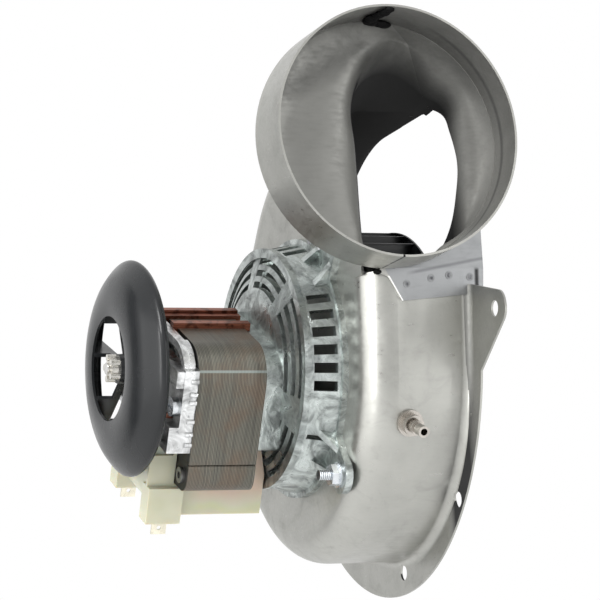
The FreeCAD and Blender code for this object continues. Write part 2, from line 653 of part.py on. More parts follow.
bobbin = tube_outer.fuse(side_parts[0]).fuse(side_parts[1]).cut(tube_hole)
blades = []
for side in (-1, 1):
    x = side * 20.2
    tab = box(x - 0.4, x + 0.4, -109.0, -102.7, -64.4, -50.0)
    tab = tab.cut(Part.makeCylinder(0.9, 4, V(x - 2, -105.85, -61.6), V(1, 0, 0)))
    bobbin = bobbin.cut(tab)
    blades.append(tab)


def coil_block(half, low, high, rear, front, corner):
    """Block about the bar with its four long corners rounded."""
    block = prism(rounded_polygon([(half, low, 0), (half, high, 0), (-half, high, 0), (-half, low, 0)]),
                  rear, front)
    long_edges = [edge for edge in block.Edges if abs(edge.BoundBox.XLength - 2 * half) < 0.01]
    return block.makeFillet(corner, long_edges)


winding = coil_block(18.6, -54.6, -18.6, -110.0, -63.6, 7.5)
cover = coil_block(18.95, -55.8, -17.4, -111.2, -62.4, 8.7).cut(winding)
cover = cover.cut(box(-30, 30, -103.3, -70.7, -43.6, -15.0))
bobbin = bobbin.fuse(cover)
winding = winding.cut(box(-30, 30, -103.3, -70.7, -43.6, -27.4))
bobbin = without(bobbin, above_window + [core])
winding = without(winding, above_window + [bobbin, core])
add_shape("coil_bobbin", biggest(bobbin), size["motor_roll"])
add_shape("coil_winding", biggest(winding), size["motor_roll"])
add_shape("terminal_blades", Part.makeCompound(blades), size["motor_roll"])


def rear_bracket():
    """Casting that carries the rear bearing: two posts, deep arms, feet and a curved brow."""
    rear = size["stack_rear"]
    hub = tube(9.0, 6.45, -111.0, -103.1)
    brow = box(-17, 17, -107.0, -103.4, 15.3, 18.5)
    arms = box(-33.0, 33.0, -110.6, -104.4, 3.5, 10.5).cut(cyl(8.0, -120, -100))
    body = arms.fuse(hub).fuse(brow)
    for side in (-1, 1):
        def strip(inner, outer):
            return sorted((side * inner, side * outer))
        post = box(*strip(25.5, 33.5), -107.5, rear, -24.0, 11.0)
        foot = box(*strip(22.5, 33.5), -111.6, rear, -24.0, -13.0)
        recess = box(*strip(24.5, 31.0), -112.0, -109.0, -21.5, -15.5)
        web = box(*strip(8.0, 26.0), -106.0, -104.4, -9.0, 4.0).cut(cyl(8.0, -120, -100))
        middle = side * 17.0
        curve = tube(15.5, 12.3, -107.0, -102.2, middle, 3.0)
        curve = curve.common(box(*strip(17.0, 40.0), -120, -90, 3.0, 40))
        body = body.fuse(post).fuse(foot.cut(recess)).fuse(web).fuse(curve)
        for z in (6.5, 1.0, -2.5, -10.5, -16.0, -20.5):
            body = body.fuse(cyl(1.1, -104.6, rear, side * 33.3, z))
    for side in (-1, 1):
        body = body.cut(cyl(size["screw_r"] + 0.15, -120, -95, side * size["screw_x"], size["screw_z"]))
    return biggest(without(body, loops))


add_shape("rear_bracket", rear_bracket(), size["motor_roll"])
screws = []
for side in (-1, 1):
    x = side * size["screw_x"]
    shank = cyl(size["screw_r"], -107.5, -64.5, x, size["screw_z"])
    head = cyl(3.9, -110.3, -107.5, x, size["screw_z"])
    slot = box(x - 3, x + 3, -111, -109.2, size["screw_z"] - 0.5, size["screw_z"] + 0.5)
    screws.append(shank.fuse(head).cut(slot))
add_shape("motor_screws", Part.makeCompound(screws), size["motor_roll"])

# ---------------------------------------------------------------- bearings
def sleeve_bearing(middle):
    """Self-aligning sleeve: a ball cut flat at both ends and bored for the shaft."""
    half = size["bearing_half"]
    ball = Part.makeSphere(size["bearing_r"], V(0, middle, 0)).common(cyl(10, middle - half, middle + half))
    return ball.cut(cyl(size["bearing_bore"], middle - 10, middle + 10))


front_y, rear_y = size["front_bearing_y"], size["rear_bearing_y"]
add_shape("front_bearing", sleeve_bearing(front_y))
add_shape("front_bearing_clip", tube(6.4, 4.1, front_y - size["bearing_half"] - 0.8,
                                     front_y - size["bearing_half"] - 0.1))
add_shape("rear_bearing", sleeve_bearing(rear_y))
add_shape("rear_bearing_clip", tube(6.4, 4.1, rear_y + size["bearing_half"] + 0.1,
                                    rear_y + size["bearing_half"] + 0.7))

# ---------------------------------------------------------------- rotor
revolved("shaft", [("zero", "shaft_rear"), ("shaft_r", "shaft_rear"), ("shaft_r", "shaft_front"),
                   ("zero", "shaft_front")])
revolved("rotor_core", [("shaft_r", "rotor_rear"), ("rotor_r", "rotor_rear"), ("rotor_r", "rotor_front"),
                        ("shaft_r", "rotor_front")])
end_rings = [tube(11.6, 6.5, size["rotor_front"], size["rotor_front"] + 2.2),
             tube(11.6, 6.5, size["rotor_rear"] - 2.2, size["rotor_rear"])]
add_shape("rotor_end_rings", Part.makeCompound(end_rings))
washers = [tube(3.7, size["shaft_r"], -68.0, -66.6), tube(3.7, size["shaft_r"], -103.4, -102.4)]
add_shape("thrust_washers", Part.makeCompound(washers))

# ---------------------------------------------------------------- blower wheel
revolved("wheel_plate", [("hub_bore", "plate_front"), ("wheel_r", "plate_front"),
                         ("wheel_r", "plate_rear"), ("hub_bore", "plate_rear")])
set_screw = Part.makeCylinder(1.6, 4.6, V(0, -33.0, 2.5), V(0, 0, 1))
hub = tube(size["hub_r"], size["hub_bore"], size["plate_rear"], size["hub_rear"])
add_shape("wheel_hub", hub.cut(Part.makeCylinder(1.6, 20, V(0, -33.0, 0), V(0, 0, 1))))
add_shape("hub_set_screw", set_screw)


def wheel_blade():
    """Forward-curved blade standing between the back plate and the ring."""
    inner, outer, thick = size["blade_in_r"], size["wheel_r"] - 0.4, 0.7
    chord = outer - inner

    def face_at(offset):
        return Part.Arc(V(inner, 0, offset), V(inner + 0.62 * chord, 0, offset - 1.3),
                        V(outer, 0, offset - 5.2)).toShape()

    near, far = face_at(0.0), face_at(thick)
    sides = [Part.LineSegment(V(inner, 0, 0), V(inner, 0, thick)).toShape(),
             Part.LineSegment(V(outer, 0, -5.2), V(outer, 0, thick - 5.2)).toShape()]
    wire = Part.Wire(Part.__sortEdges__([near, far] + sides))
    return prism(wire, size["plate_rear"], size["wheel_ring_y"])


blade = wheel_blade().common(cyl(size["wheel_r"] - 0.1, -60, 10))
add_shape("wheel_blades", Part.makeCompound([spin(blade, 360.0 * k / BLADES) for k in range(BLADES)]))
add_shape("wheel_ring", tube(size["wheel_r"], size["blade_in_r"] + 0.6, size["wheel_ring_y"],
                             size["wheel_ring_y"] + 0.8))


# ---------------------------------------------------------------- cooling fan
def cooling_fan():
    """One moulding: shallow ring-shaped shroud, radial vanes inside it, and a hub."""
    hole, outer = size["fan_hole_r"], size["fan_r"]
    front, lip = size["fan_front"], size["fan_lip_y"]
    outside_points = [V(outer - 1.2, lip, 0), V(outer, lip - 2.4, 0), V(outer - 2.2, lip - 5.2, 0),
                      V(outer - 6.5, lip - 8.4, 0), V(outer - 12.5, front + 0.8, 0),
                      V(hole + 5.0, front, 0), V(hole, front + 0.2, 0)]
    inside_points = [V(outer - 2.8, lip - 0.6, 0), V(outer - 1.8, lip - 2.5, 0),
                     V(outer - 3.8, lip - 4.4, 0), V(outer - 7.6, lip - 7.0, 0),
                     V(outer - 13.0, front + 2.5, 0), V(hole + 5.0, front + 1.7, 0),
                     V(hole, front + 1.3, 0)]
    halves = []
    for points in (outside_points, inside_points):
        curve = Part.BSplineCurve()
        curve.interpolate(points)
        halves.append(curve.toShape())
    ends = [Part.LineSegment(outside_points[0], inside_points[0]).toShape(),
            Part.LineSegment(outside_points[-1], inside_points[-1]).toShape()]
    loop = Part.Wire(Part.__sortEdges__(halves + ends))
    shroud = Part.Face(loop).revolve(V(0, 0, 0), V(0, 1, 0), 360)
    hub = tube(size["fan_hub_r"], size["shaft_r"], size["fan_hub_front"], size["fan_hub_rear"])
    back = lip - 1.0
    vane = prism(rounded_polygon([(size["fan_hub_r"] - 0.8, -0.8, 0), (outer, -0.8, 0), (outer, 0.8, 0),
                                  (size["fan_hub_r"] - 0.8, 0.8, 0)]), front + 1.0, back)
    step = cyl(hole - 1.0, front - 1, -121.0)
    space = Part.Face(Part.Wire(Part.__sortEdges__([
        halves[1], Part.LineSegment(inside_points[-1], V(0, inside_points[-1].y, 0)).toShape(),
        Part.LineSegment(V(0, inside_points[-1].y, 0), V(0, inside_points[0].y, 0)).toShape(),
        Part.LineSegment(V(0, inside_points[0].y, 0), inside_points[0]).toShape()])))
    space = space.revolve(V(0, 0, 0), V(0, 1, 0), 360).fuse(shroud)
    vane = vane.cut(step).common(space)
    fan = shroud.fuse(hub)
    for index in range(FAN_BLADES):
        fan = fan.fuse(spin(vane, 360.0 * index / FAN_BLADES))
    return biggest(fan)


add_shape("cooling_fan", cooling_fan())
clip = tube(size["clip_out"], size["shaft_r"], size["clip_front"], size["fan_hub_front"])
for index in range(5):
    x, z = polar(4.5, 72.0 * index + 20)
    clip = clip.fuse(cyl(1.4, size["clip_front"] - 0.7, size["fan_hub_front"], x, z))
add_shape("fan_retainer", clip.cut(cyl(size["shaft_r"], -140, -100)))

# ---------------------------------------------------------------- export
doc.recompute()
os.makedirs("parts", exist_ok=True)
for item in doc.Objects:
    if "Invalid" in item.State or "Error" in item.State:
        raise RuntimeError("feature failed: " + item.Label)
for node in nodes:
    if node.Shape.isNull() or not node.Shape.isValid():
        raise RuntimeError("bad shape: " + node.Label)
    node.Shape.exportStep("parts/%s.step" % node.Label)
print("nodes written:", len(nodes))
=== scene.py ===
import math
import random

import bmesh
import bpy
from mathutils import Matrix, Vector


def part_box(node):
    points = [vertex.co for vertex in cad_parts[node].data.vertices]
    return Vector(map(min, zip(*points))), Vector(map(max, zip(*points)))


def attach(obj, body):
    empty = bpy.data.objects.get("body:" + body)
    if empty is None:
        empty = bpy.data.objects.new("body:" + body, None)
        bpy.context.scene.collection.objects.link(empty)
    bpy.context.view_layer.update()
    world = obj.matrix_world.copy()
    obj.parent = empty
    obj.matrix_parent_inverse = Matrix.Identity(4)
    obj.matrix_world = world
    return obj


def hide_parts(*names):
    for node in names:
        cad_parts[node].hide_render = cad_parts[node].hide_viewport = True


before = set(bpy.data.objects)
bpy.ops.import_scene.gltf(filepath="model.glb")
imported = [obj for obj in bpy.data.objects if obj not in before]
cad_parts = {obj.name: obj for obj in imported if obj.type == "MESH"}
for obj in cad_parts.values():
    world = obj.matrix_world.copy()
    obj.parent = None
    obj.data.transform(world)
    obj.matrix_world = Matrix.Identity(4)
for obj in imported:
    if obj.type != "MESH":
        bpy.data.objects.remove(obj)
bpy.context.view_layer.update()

MM = 0.001

# places on the object, in mm: Y is the shaft, +X the way out of the collar, +Z up
COLLAR_Y, COLLAR_Z = -38.5, 76.5
COLLAR_INSIDE = 49.4
COLLAR_MIDDLE = (90.0, COLLAR_Y, COLLAR_Z)
RIM_X = 103.0
DUCT_MIDDLE = (80.0, -30.0, 74.0)
STRAP_X = 78.4
STRAP_TOP_Z = 50.0
STRAP_END_Y = 2.2
WELDS = ((-28.4, 20.4), (-17.8, 22.8), (-10.0, 24.0), (-0.8, 23.4))
SEAM_Y = -40.3
CREASE_X = 91.5
MOTOR_UP = (0.5, 0.0, 0.8660254)
COIL_FOOT = -53.0
GROOVE_HEIGHT = 10.5

# colours of painted shade: deep in the outlet and the scroll, and under the outlet's roof
SHADE_TONE = (0.030, 0.030, 0.030)
ROOF_SHADE_TONE = (0.085, 0.085, 0.080)


# ---------------------------------------------------------------- node helpers
def rgb(tone, strength=1.0):
    """Colour with alpha, darkened or lightened by the strength."""
    return tuple(min(value * strength, 1.0) for value in tone) + (1.0,)


class Tree:
    """Small wrapper that builds one material's node tree. Lengths are in mm, except in noise."""

    def __init__(self, name):
        self.material = bpy.data.materials.new(name)
        self.material.use_nodes = True
        self.nodes = self.material.node_tree.nodes
        self.links = self.material.node_tree.links
        self.shader = self.nodes["Principled BSDF"]
        source = self.nodes.new("ShaderNodeTexCoord")
        self.coordinates = source.outputs["Object"]
        self.normal = source.outputs["Normal"]
        self.place = self.vector("SCALE", self.coordinates, scale=1 / MM)

    def put(self, socket, value):
        if isinstance(value, bpy.types.NodeSocket):
            self.links.new(value, socket)
        else:
            socket.default_value = value

    def surface(self, **values):
        for name, value in values.items():
            self.put(self.shader.inputs[name.replace("_", " ")], value)

    def vector(self, operation, first, second=None, scale=None):
        node = self.nodes.new("ShaderNodeVectorMath")
        node.operation = operation
        self.put(node.inputs[0], first)
        if second is not None:
            self.put(node.inputs[1], second)
        if scale is not None:
            node.inputs["Scale"].default_value = scale
        gives_number = operation in ("DOT_PRODUCT", "DISTANCE", "LENGTH")
        return node.outputs["Value" if gives_number else "Vector"]

    def math(self, operation, first, second=0.0):
        node = self.nodes.new("ShaderNodeMath")
        node.operation = operation
        self.put(node.inputs[0], first)
        self.put(node.inputs[1], second)
        return node.outputs[0]

    def all_of(self, first, *others):
        """Product of masks."""
        for other in others:
            first = self.math("MULTIPLY", first, other)
        return first

    def any_of(self, first, *others):
        """Strongest of several masks."""
        for other in others:
            first = self.math("MAXIMUM", first, other)
        return first

    def spread(self, value, from_start, from_end, to_start=0.0, to_end=1.0):
        """Value mapped in a straight line from one range to another, and held at its ends."""
        node = self.nodes.new("ShaderNodeMapRange")
        for index, number in enumerate((from_start, from_end, to_start, to_end), start=1):
            node.inputs[index].default_value = number
        self.links.new(value, node.inputs[0])
        return node.outputs[0]

    def line(self, value, middle, inner, outer, strength=1.0):
        """Mask of a stripe round one value: full within inner, gone at outer."""
        off_middle = self.math("ABSOLUTE", self.math("SUBTRACT", value, middle))
        return self.spread(off_middle, inner, outer, strength, 0.0)

    def blend(self, factor, first, second):
        node = self.nodes.new("ShaderNodeMix")
        node.data_type = "RGBA"
        self.put(node.inputs["Factor"], factor)
        self.put(node.inputs["A"], first)
        self.put(node.inputs["B"], second)
        return node.outputs["Result"]

    def noise(self, scale, detail=3.0, roughness=0.55, stretch=None, distortion=0.0):
        """Cloudy noise; stretch gives it a scale of its own along each axis. Per metre."""
        node = self.nodes.new("ShaderNodeTexNoise")
        node.inputs["Scale"].default_value = scale
        node.inputs["Detail"].default_value = detail
        node.inputs["Roughness"].default_value = roughness
        node.inputs["Distortion"].default_value = distortion
        vector = self.coordinates
        if stretch:
            mapping = self.nodes.new("ShaderNodeMapping")
            mapping.inputs["Scale"].default_value = stretch
            self.links.new(vector, mapping.inputs["Vector"])
            vector = mapping.outputs["Vector"]
        self.links.new(vector, node.inputs["Vector"])
        return node.outputs["Fac"]

    def part_along(self, vector, axis):
        node = self.nodes.new("ShaderNodeSeparateXYZ")
        self.links.new(vector, node.inputs[0])
        return node.outputs[axis]

    def position(self, axis):
        return self.part_along(self.place, axis)

    def facing(self, axis):
        """Part of the surface normal along one axis of the object."""
        return self.part_along(self.normal, axis)

    def from_line(self, centre):
        """Vector from the line through centre along X."""
        offset = self.vector("SUBTRACT", self.place, centre)
        return self.vector("MULTIPLY", offset, (0.0, 1.0, 1.0))

    def facing_in(self, centre):
        """1 on surfaces that face the line through centre along X, 0 on the outside."""
        outward = self.vector("DOT_PRODUCT", self.from_line(centre), self.normal)
        return self.spread(outward, 0.0, -1.0)

    def beyond(self, point, direction):
        """Signed distance from a plane through point."""
        start = sum(a * b for a, b in zip(point, direction))
        return self.math("SUBTRACT", self.vector("DOT_PRODUCT", self.place, direction), start)

    def near(self, point, inner, outer):
        """1 within the inner distance of a point, falling to 0 at the outer one."""
        return self.spread(self.vector("DISTANCE", self.place, point), inner, outer, 1.0, 0.0)

    def bump(self, height, strength, distance=0.2):
        node = self.nodes.new("ShaderNodeBump")
        node.inputs["Strength"].default_value = strength
        node.inputs["Distance"].default_value = distance * MM
        self.links.new(height, node.inputs["Height"])
        self.links.new(node.outputs["Normal"], self.shader.inputs["Normal"])


# ---------------------------------------------------------------- drawn steel
def strap_marks(tree, colour):
    """Bluish plate below the collar, with painted shade along its fold, a painted highlight on its cut
    edge, a painted shadow in the gap at its end, and the dots of the spot welds.
    """
    along, across, height = (tree.position(axis) for axis in "XYZ")
    outside = tree.spread(tree.facing_in(DUCT_MIDDLE), 0.0, 0.5, 1.0, 0.0)
    plate = tree.all_of(tree.spread(along, STRAP_X - 2.4, STRAP_X - 1.9),
                        tree.spread(along, STRAP_X + 4.6, STRAP_X + 3.1),
                        tree.spread(height, STRAP_TOP_Z, STRAP_TOP_Z - 4.0), outside)
    edge = tree.beyond((0, -35.9, 23.0), (0, 0.858, 0.513))
    inside_edge = tree.all_of(tree.spread(edge, 0.0, 0.3), plate)
    colour = tree.blend(tree.math("MULTIPLY", inside_edge, 0.75), colour, rgb((0.28, 0.29, 0.305)))
    # painted shade along the plate's fold
    fold_shade = tree.all_of(tree.line(tree.beyond((0, 0, 30.0), (0, -0.191, 0.982)), 0.0, 0.2, 1.0, 0.5),
                       inside_edge, tree.spread(across, -29.0, -24.0))
    colour = tree.blend(fold_shade, colour, rgb((0.10, 0.10, 0.11)))
    # painted highlight along the plate's cut edge
    edge_highlight = tree.all_of(tree.line(edge, 0.0, 0.2, 0.5), plate, tree.spread(height, 23.7, 23.2))
    colour = tree.blend(edge_highlight, colour, rgb((0.95, 0.95, 0.93)))
    # painted shadow in the gap at the plate's end
    end_gap_shadow = tree.all_of(tree.line(across, STRAP_END_Y, 0.4, 1.3, 0.9), plate,
                      tree.spread(height, 27.5, 26.2))
    colour = tree.blend(end_gap_shadow, colour, rgb((0.015, 0.015, 0.015)))
    for weld_y, weld_z in WELDS:
        grime = tree.spread(tree.noise(700.0), 0.3, 0.6, 0.3, 0.9)
        dot = tree.all_of(tree.near((STRAP_X, weld_y, weld_z), 0.5, 1.9), grime)
        colour = tree.blend(dot, colour, rgb((0.05, 0.05, 0.055)))
    return colour


def inner_sides(tree):
    """Mask of the duct's and the collar's inner sides, with the shoulder between the two."""
    along = tree.position("X")
    off_axis = tree.vector("LENGTH", tree.from_line(COLLAR_MIDDLE))
    shoulder = tree.all_of(tree.spread(off_axis, 50.3, 49.9), tree.spread(tree.facing("X"), 0.1, 0.3),
                           tree.spread(along, 68.0, 70.0), tree.spread(along, RIM_X + 0.6, RIM_X))
    return tree.any_of(tree.facing_in(DUCT_MIDDLE), shoulder)


def roof_shade(tree, within):
    """Blotchy painted shade under the roof of the outlet, and a painted shadow high on its front."""
    along = tree.position("X")
    blotch = tree.spread(tree.noise(38.0, 5.0, 0.7, distortion=0.8), 0.35, 0.65, 0.55, 1.0)
    # painted shadow above a soft sloping line high on the front
    high = tree.spread(tree.beyond((0, -59.3, 99.7), (0, -0.45, 0.893)), -3.0, 6.0, 0.0, 0.9)
    high = tree.all_of(high, tree.spread(along, RIM_X, 90.0))
    below_roof = tree.all_of(tree.spread(tree.facing("Z"), 0.05, -0.75), tree.spread(along, RIM_X, 86.0))
    return tree.all_of(tree.any_of(below_roof, high), within, blotch)


def deep_shade(tree, within):
    """Painted shade in the outlet's throat and on the scroll's inner sides."""
    along = tree.position("X")
    throat = tree.all_of(tree.spread(along, 79.0, 66.0), within)
    away_from_shaft = tree.math("ADD", tree.all_of(along, tree.facing("X")),
                                tree.all_of(tree.position("Z"), tree.facing("Z")))
    scroll = tree.all_of(tree.spread(away_from_shaft, -4.0, -20.0), tree.spread(along, 66.0, 58.0))
    front = tree.all_of(tree.spread(tree.facing("Y"), 0.5, 0.8), tree.spread(along, -10.0, 20.0),
                        tree.spread(tree.position("Y"), -34.0, -38.0))
    return tree.any_of(throat, scroll, front)


def drawn_steel(name, tone, gloss, depth_tone, depth_shade_rough, depth_shade_dull=0.0, strap=False):
    """Satin drawn sheet: soft cloudy gloss, faint draw marks and small smudges, with painted shade
    inside the outlet.
    """
    tree = Tree(name)
    clouds = tree.noise(22.0, 4.0, 0.6)
    grain = tree.noise(1.0, 2.0, 0.5, stretch=(900.0, 160.0, 900.0))
    speckle = tree.noise(900.0, 3.0, 0.7)
    smudge = tree.noise(60.0, 5.0, 0.65, distortion=1.2)
    colour = tree.blend(tree.spread(clouds, 0.3, 0.7), rgb(tone, 0.84), rgb(tone, 1.12))
    colour = tree.blend(tree.spread(smudge, 0.55, 0.75, 0.0, 0.4), colour, rgb(tone, 0.62))
    colour = tree.blend(tree.spread(speckle, 0.6, 0.8, 0.0, 0.35), colour, rgb(tone, 0.7))
    # painted shade: inside the outlet the sheet is darkened, more so with depth
    along = tree.position("X")
    inside = inner_sides(tree)
    within = tree.all_of(inside, tree.spread(along, 40.0, 48.0))
    depth_shade = tree.all_of(within, tree.spread(along, RIM_X, 72.0, 0.25, 1.0))
    colour = tree.blend(depth_shade, colour, rgb(tone, depth_tone))
    # painted shade under the outlet's roof and high on its front
    roof = roof_shade(tree, within)
    colour = tree.blend(roof, colour, rgb(ROOF_SHADE_TONE))
    # painted shade deep in the outlet's throat and in the scroll
    deep = deep_shade(tree, within)
    colour = tree.blend(deep, colour, rgb(SHADE_TONE))
    if strap:
        colour = strap_marks(tree, colour)
        # painted shade along a crease inside the rear piece
        crease_shade = tree.all_of(tree.line(along, CREASE_X, 0.4, 1.8, 0.6),
                             tree.spread(tree.position("Y"), -22.0, -6.0), inside)
        colour = tree.blend(crease_shade, colour, rgb((0.07, 0.07, 0.068)))
    seam = tree.all_of(tree.line(tree.position("Y"), SEAM_Y, 0.3, 0.6),
                       tree.spread(tree.position("Z"), 26.8, 26.5), tree.spread(along, 77.5, 78.0))
    colour = tree.blend(seam, colour, rgb((0.01, 0.01, 0.01)))
    rough = tree.spread(grain, 0.3, 0.7, gloss - 0.05, gloss + 0.08)
    rough = tree.math("ADD", rough, tree.math("MULTIPLY", depth_shade, depth_shade_rough))
    rough = tree.math("ADD", rough, tree.spread(smudge, 0.4, 0.7, -0.02, 0.10))
    # the painted shade doesn't shine either, even along a grazing view
    painted_shade = tree.any_of(deep, tree.math("MULTIPLY", roof, 0.7), tree.math("MULTIPLY", depth_shade, depth_shade_dull))
    tree.surface(Base_Color=colour, Metallic=tree.spread(painted_shade, 0.0, 1.0, 1.0, 0.0),
                 Specular_IOR_Level=tree.spread(painted_shade, 0.0, 1.0, 0.5, 0.0), Roughness=rough)
    tree.bump(tree.math("ADD", grain, tree.math("MULTIPLY", smudge, 0.6)), 0.12, 0.1)
    return tree.material


# ---------------------------------------------------------------- other metals
def threaded(name, tone, rough, pitch=0.8):
    """Plated screw thread along Y, as a ridged bump, with painted shade in its valleys."""
    tree = Tree(name)
    wave = tree.math("SINE", tree.math("MULTIPLY", tree.position("Y"), 2 * math.pi / pitch))
    # painted shade in the thread's valleys
    valley_shade = tree.spread(wave, -1.0, 0.2, 1.0, 0.0)
    tree.surface(Base_Color=tree.blend(valley_shade, rgb(tone), rgb(tone, 0.3)), Metallic=1.0, Roughness=rough)
    tree.bump(wave, 0.8, 0.3)
    return tree.material


def cast_metal(name, tone=(0.50, 0.54, 0.525), rough=0.30):
    """Die casting: bright skin with flow marks and dull pits."""
    tree = Tree(name)
    flow = tree.noise(85.0, 5.0, 0.62, distortion=1.8)
    pits = tree.noise(420.0, 3.0, 0.6)
    colour = tree.blend(tree.spread(flow, 0.36, 0.60), rgb(tone, 0.42), rgb(tone))
    colour = tree.blend(tree.spread(pits, 0.62, 0.74, 0.0, 0.6), colour, rgb((0.10, 0.11, 0.115)))
    roughness = tree.spread(flow, 0.3, 0.7, rough + 0.14, rough - 0.06)
    tree.surface(Base_Color=colour, Metallic=1.0, Roughness=roughness)
    tree.bump(tree.math("ADD", tree.math("MULTIPLY", flow, 2.5), pits), 0.6, 0.4)
    return tree.material


def plain_metal(name, tone, rough, wear=0.06):
    """Plain or plated metal with faint marks."""
    tree = Tree(name)
    marks = tree.noise(300.0, 4.0, 0.6)
    colour = tree.blend(tree.spread(marks, 0.35, 0.65), rgb(tone, 0.78), rgb(tone))
    tree.surface(Base_Color=colour, Metallic=1.0,
                 Roughness=tree.spread(marks, 0.3, 0.7, rough - wear, rough + wear))
    tree.bump(marks, 0.1, 0.1)
    return tree.material


def laminations(name, groove=None):
    """Edge view of stacked steel sheets, with a little rust bloom and painted shade on the end faces."""
    tree = Tree(name)
    sheet_pitch = 0.62
    wobble = tree.math("MULTIPLY", tree.noise(90.0, 2.0), 0.16)
    along = tree.math("ADD", tree.position("Y"), wobble)
    wave = tree.math("SINE", tree.math("MULTIPLY", along, 2 * math.pi / sheet_pitch))
    sheets = tree.spread(wave, -1.0, 1.0)
    sheet_tone = tree.noise(1.0, 1.0, 0.5, stretch=(20.0, 1500.0, 20.0))
    bloom = tree.noise(75.0, 4.0, 0.6)
    body = tree.blend(tree.spread(sheet_tone, 0.3, 0.7),
                      rgb((0.115, 0.112, 0.096)), rgb((0.19, 0.182, 0.152)))
    body = tree.blend(tree.spread(bloom, 0.45, 0.68, 0.0, 0.7), body, rgb((0.185, 0.132, 0.095)))
    colour = tree.blend(tree.spread(sheets, 0.0, 0.35, 1.0, 0.0), body, rgb((0.03, 0.028, 0.025)))
    if groove is not None:
        groove_line = tree.line(tree.beyond((0, 0, 0), MOTOR_UP), groove, 0.3, 0.6)
        colour = tree.blend(groove_line, colour, rgb((0.24, 0.27, 0.255)))
    # painted shade: the punched end faces are painted nearly black
    end_face_shade = tree.spread(tree.math("ABSOLUTE", tree.facing("Y")), 0.7, 0.9)
    colour = tree.blend(end_face_shade, colour, rgb((0.035, 0.034, 0.032)))
    tree.surface(Base_Color=colour, Metallic=0.75, Roughness=tree.spread(bloom, 0.3, 0.7, 0.36, 0.5))
    tree.bump(sheets, 0.5)
    return tree.material


def copper(name, tone=(0.62, 0.20, 0.10), rough=0.3):
    """Drawn copper with burnt patches."""
    tree = Tree(name)
    strands = tree.noise(1.0, 2.0, 0.5, stretch=(1400.0, 60.0, 1400.0))
    colour = tree.blend(tree.spread(strands, 0.3, 0.7), rgb(tone, 0.55), rgb(tone))
    burnt = tree.spread(tree.noise(260.0, 4.0, 0.65), 0.5, 0.62, 0.0, 0.75)
    colour = tree.blend(burnt, colour, rgb(tone, 0.18))
    tree.surface(Base_Color=colour, Metallic=1.0, Roughness=rough)
    tree.bump(strands, 0.3)
    return tree.material


# ---------------------------------------------------------------- plastics and paste
def nylon(name):
    """Cloudy nylon over the coil."""
    tree = Tree(name)
    cloud = tree.noise(45.0, 2.0)
    colour = tree.blend(tree.spread(cloud, 0.3, 0.7), rgb((0.42, 0.415, 0.30)), rgb((0.50, 0.50, 0.40)))
    # the copper shows pink through the cover, and its foot is a little green
    height = tree.math("ADD", tree.beyond((0, 0, 0), MOTOR_UP), tree.spread(cloud, 0.2, 0.8, -4.0, 4.0))
    middle = tree.spread(tree.position("Y"), -98.0, -90.0)
    pink = tree.all_of(tree.spread(height, COIL_FOOT + 1.5, COIL_FOOT + 8.0, 0.0, 0.55), middle)
    green = tree.all_of(tree.line(height, COIL_FOOT, 0.5, 3.0, 0.5), middle)
    colour = tree.blend(pink, colour, rgb((0.50, 0.31, 0.25)))
    colour = tree.blend(green, colour, rgb((0.44, 0.465, 0.255)))
    tree.surface(Base_Color=colour, Roughness=0.33, IOR=1.5, Subsurface_Weight=0.45,
                 Subsurface_Radius=(1.0, 0.6, 0.35), Subsurface_Scale=4 * MM)
    tree.bump(tree.noise(600.0, 2.0), 0.05, 0.1)
    return tree.material


def black_plastic(name, rough):
    """Glossy moulded plastic with a slight haze."""
    tree = Tree(name)
    haze = tree.noise(60.0)
    tree.surface(Base_Color=rgb((0.014, 0.015, 0.016)), Specular_IOR_Level=0.27,
                 Roughness=tree.spread(haze, 0.3, 0.7, rough - 0.04, rough + 0.06))
    tree.bump(tree.noise(900.0, 2.0), 0.04, 0.1)
    return tree.material


def dull(name, tone, rough, specular=0.5):
    """Mottled matt stuff, such as paste or fibre."""
    tree = Tree(name)
    mottled = tree.noise(180.0, 4.0, 0.6)
    colour = tree.blend(tree.spread(mottled, 0.3, 0.7), rgb(tone, 0.7), rgb(tone))
    tree.surface(Base_Color=colour, Roughness=rough, Specular_IOR_Level=specular)
    tree.bump(mottled, 0.5, 0.4)
    return tree.material


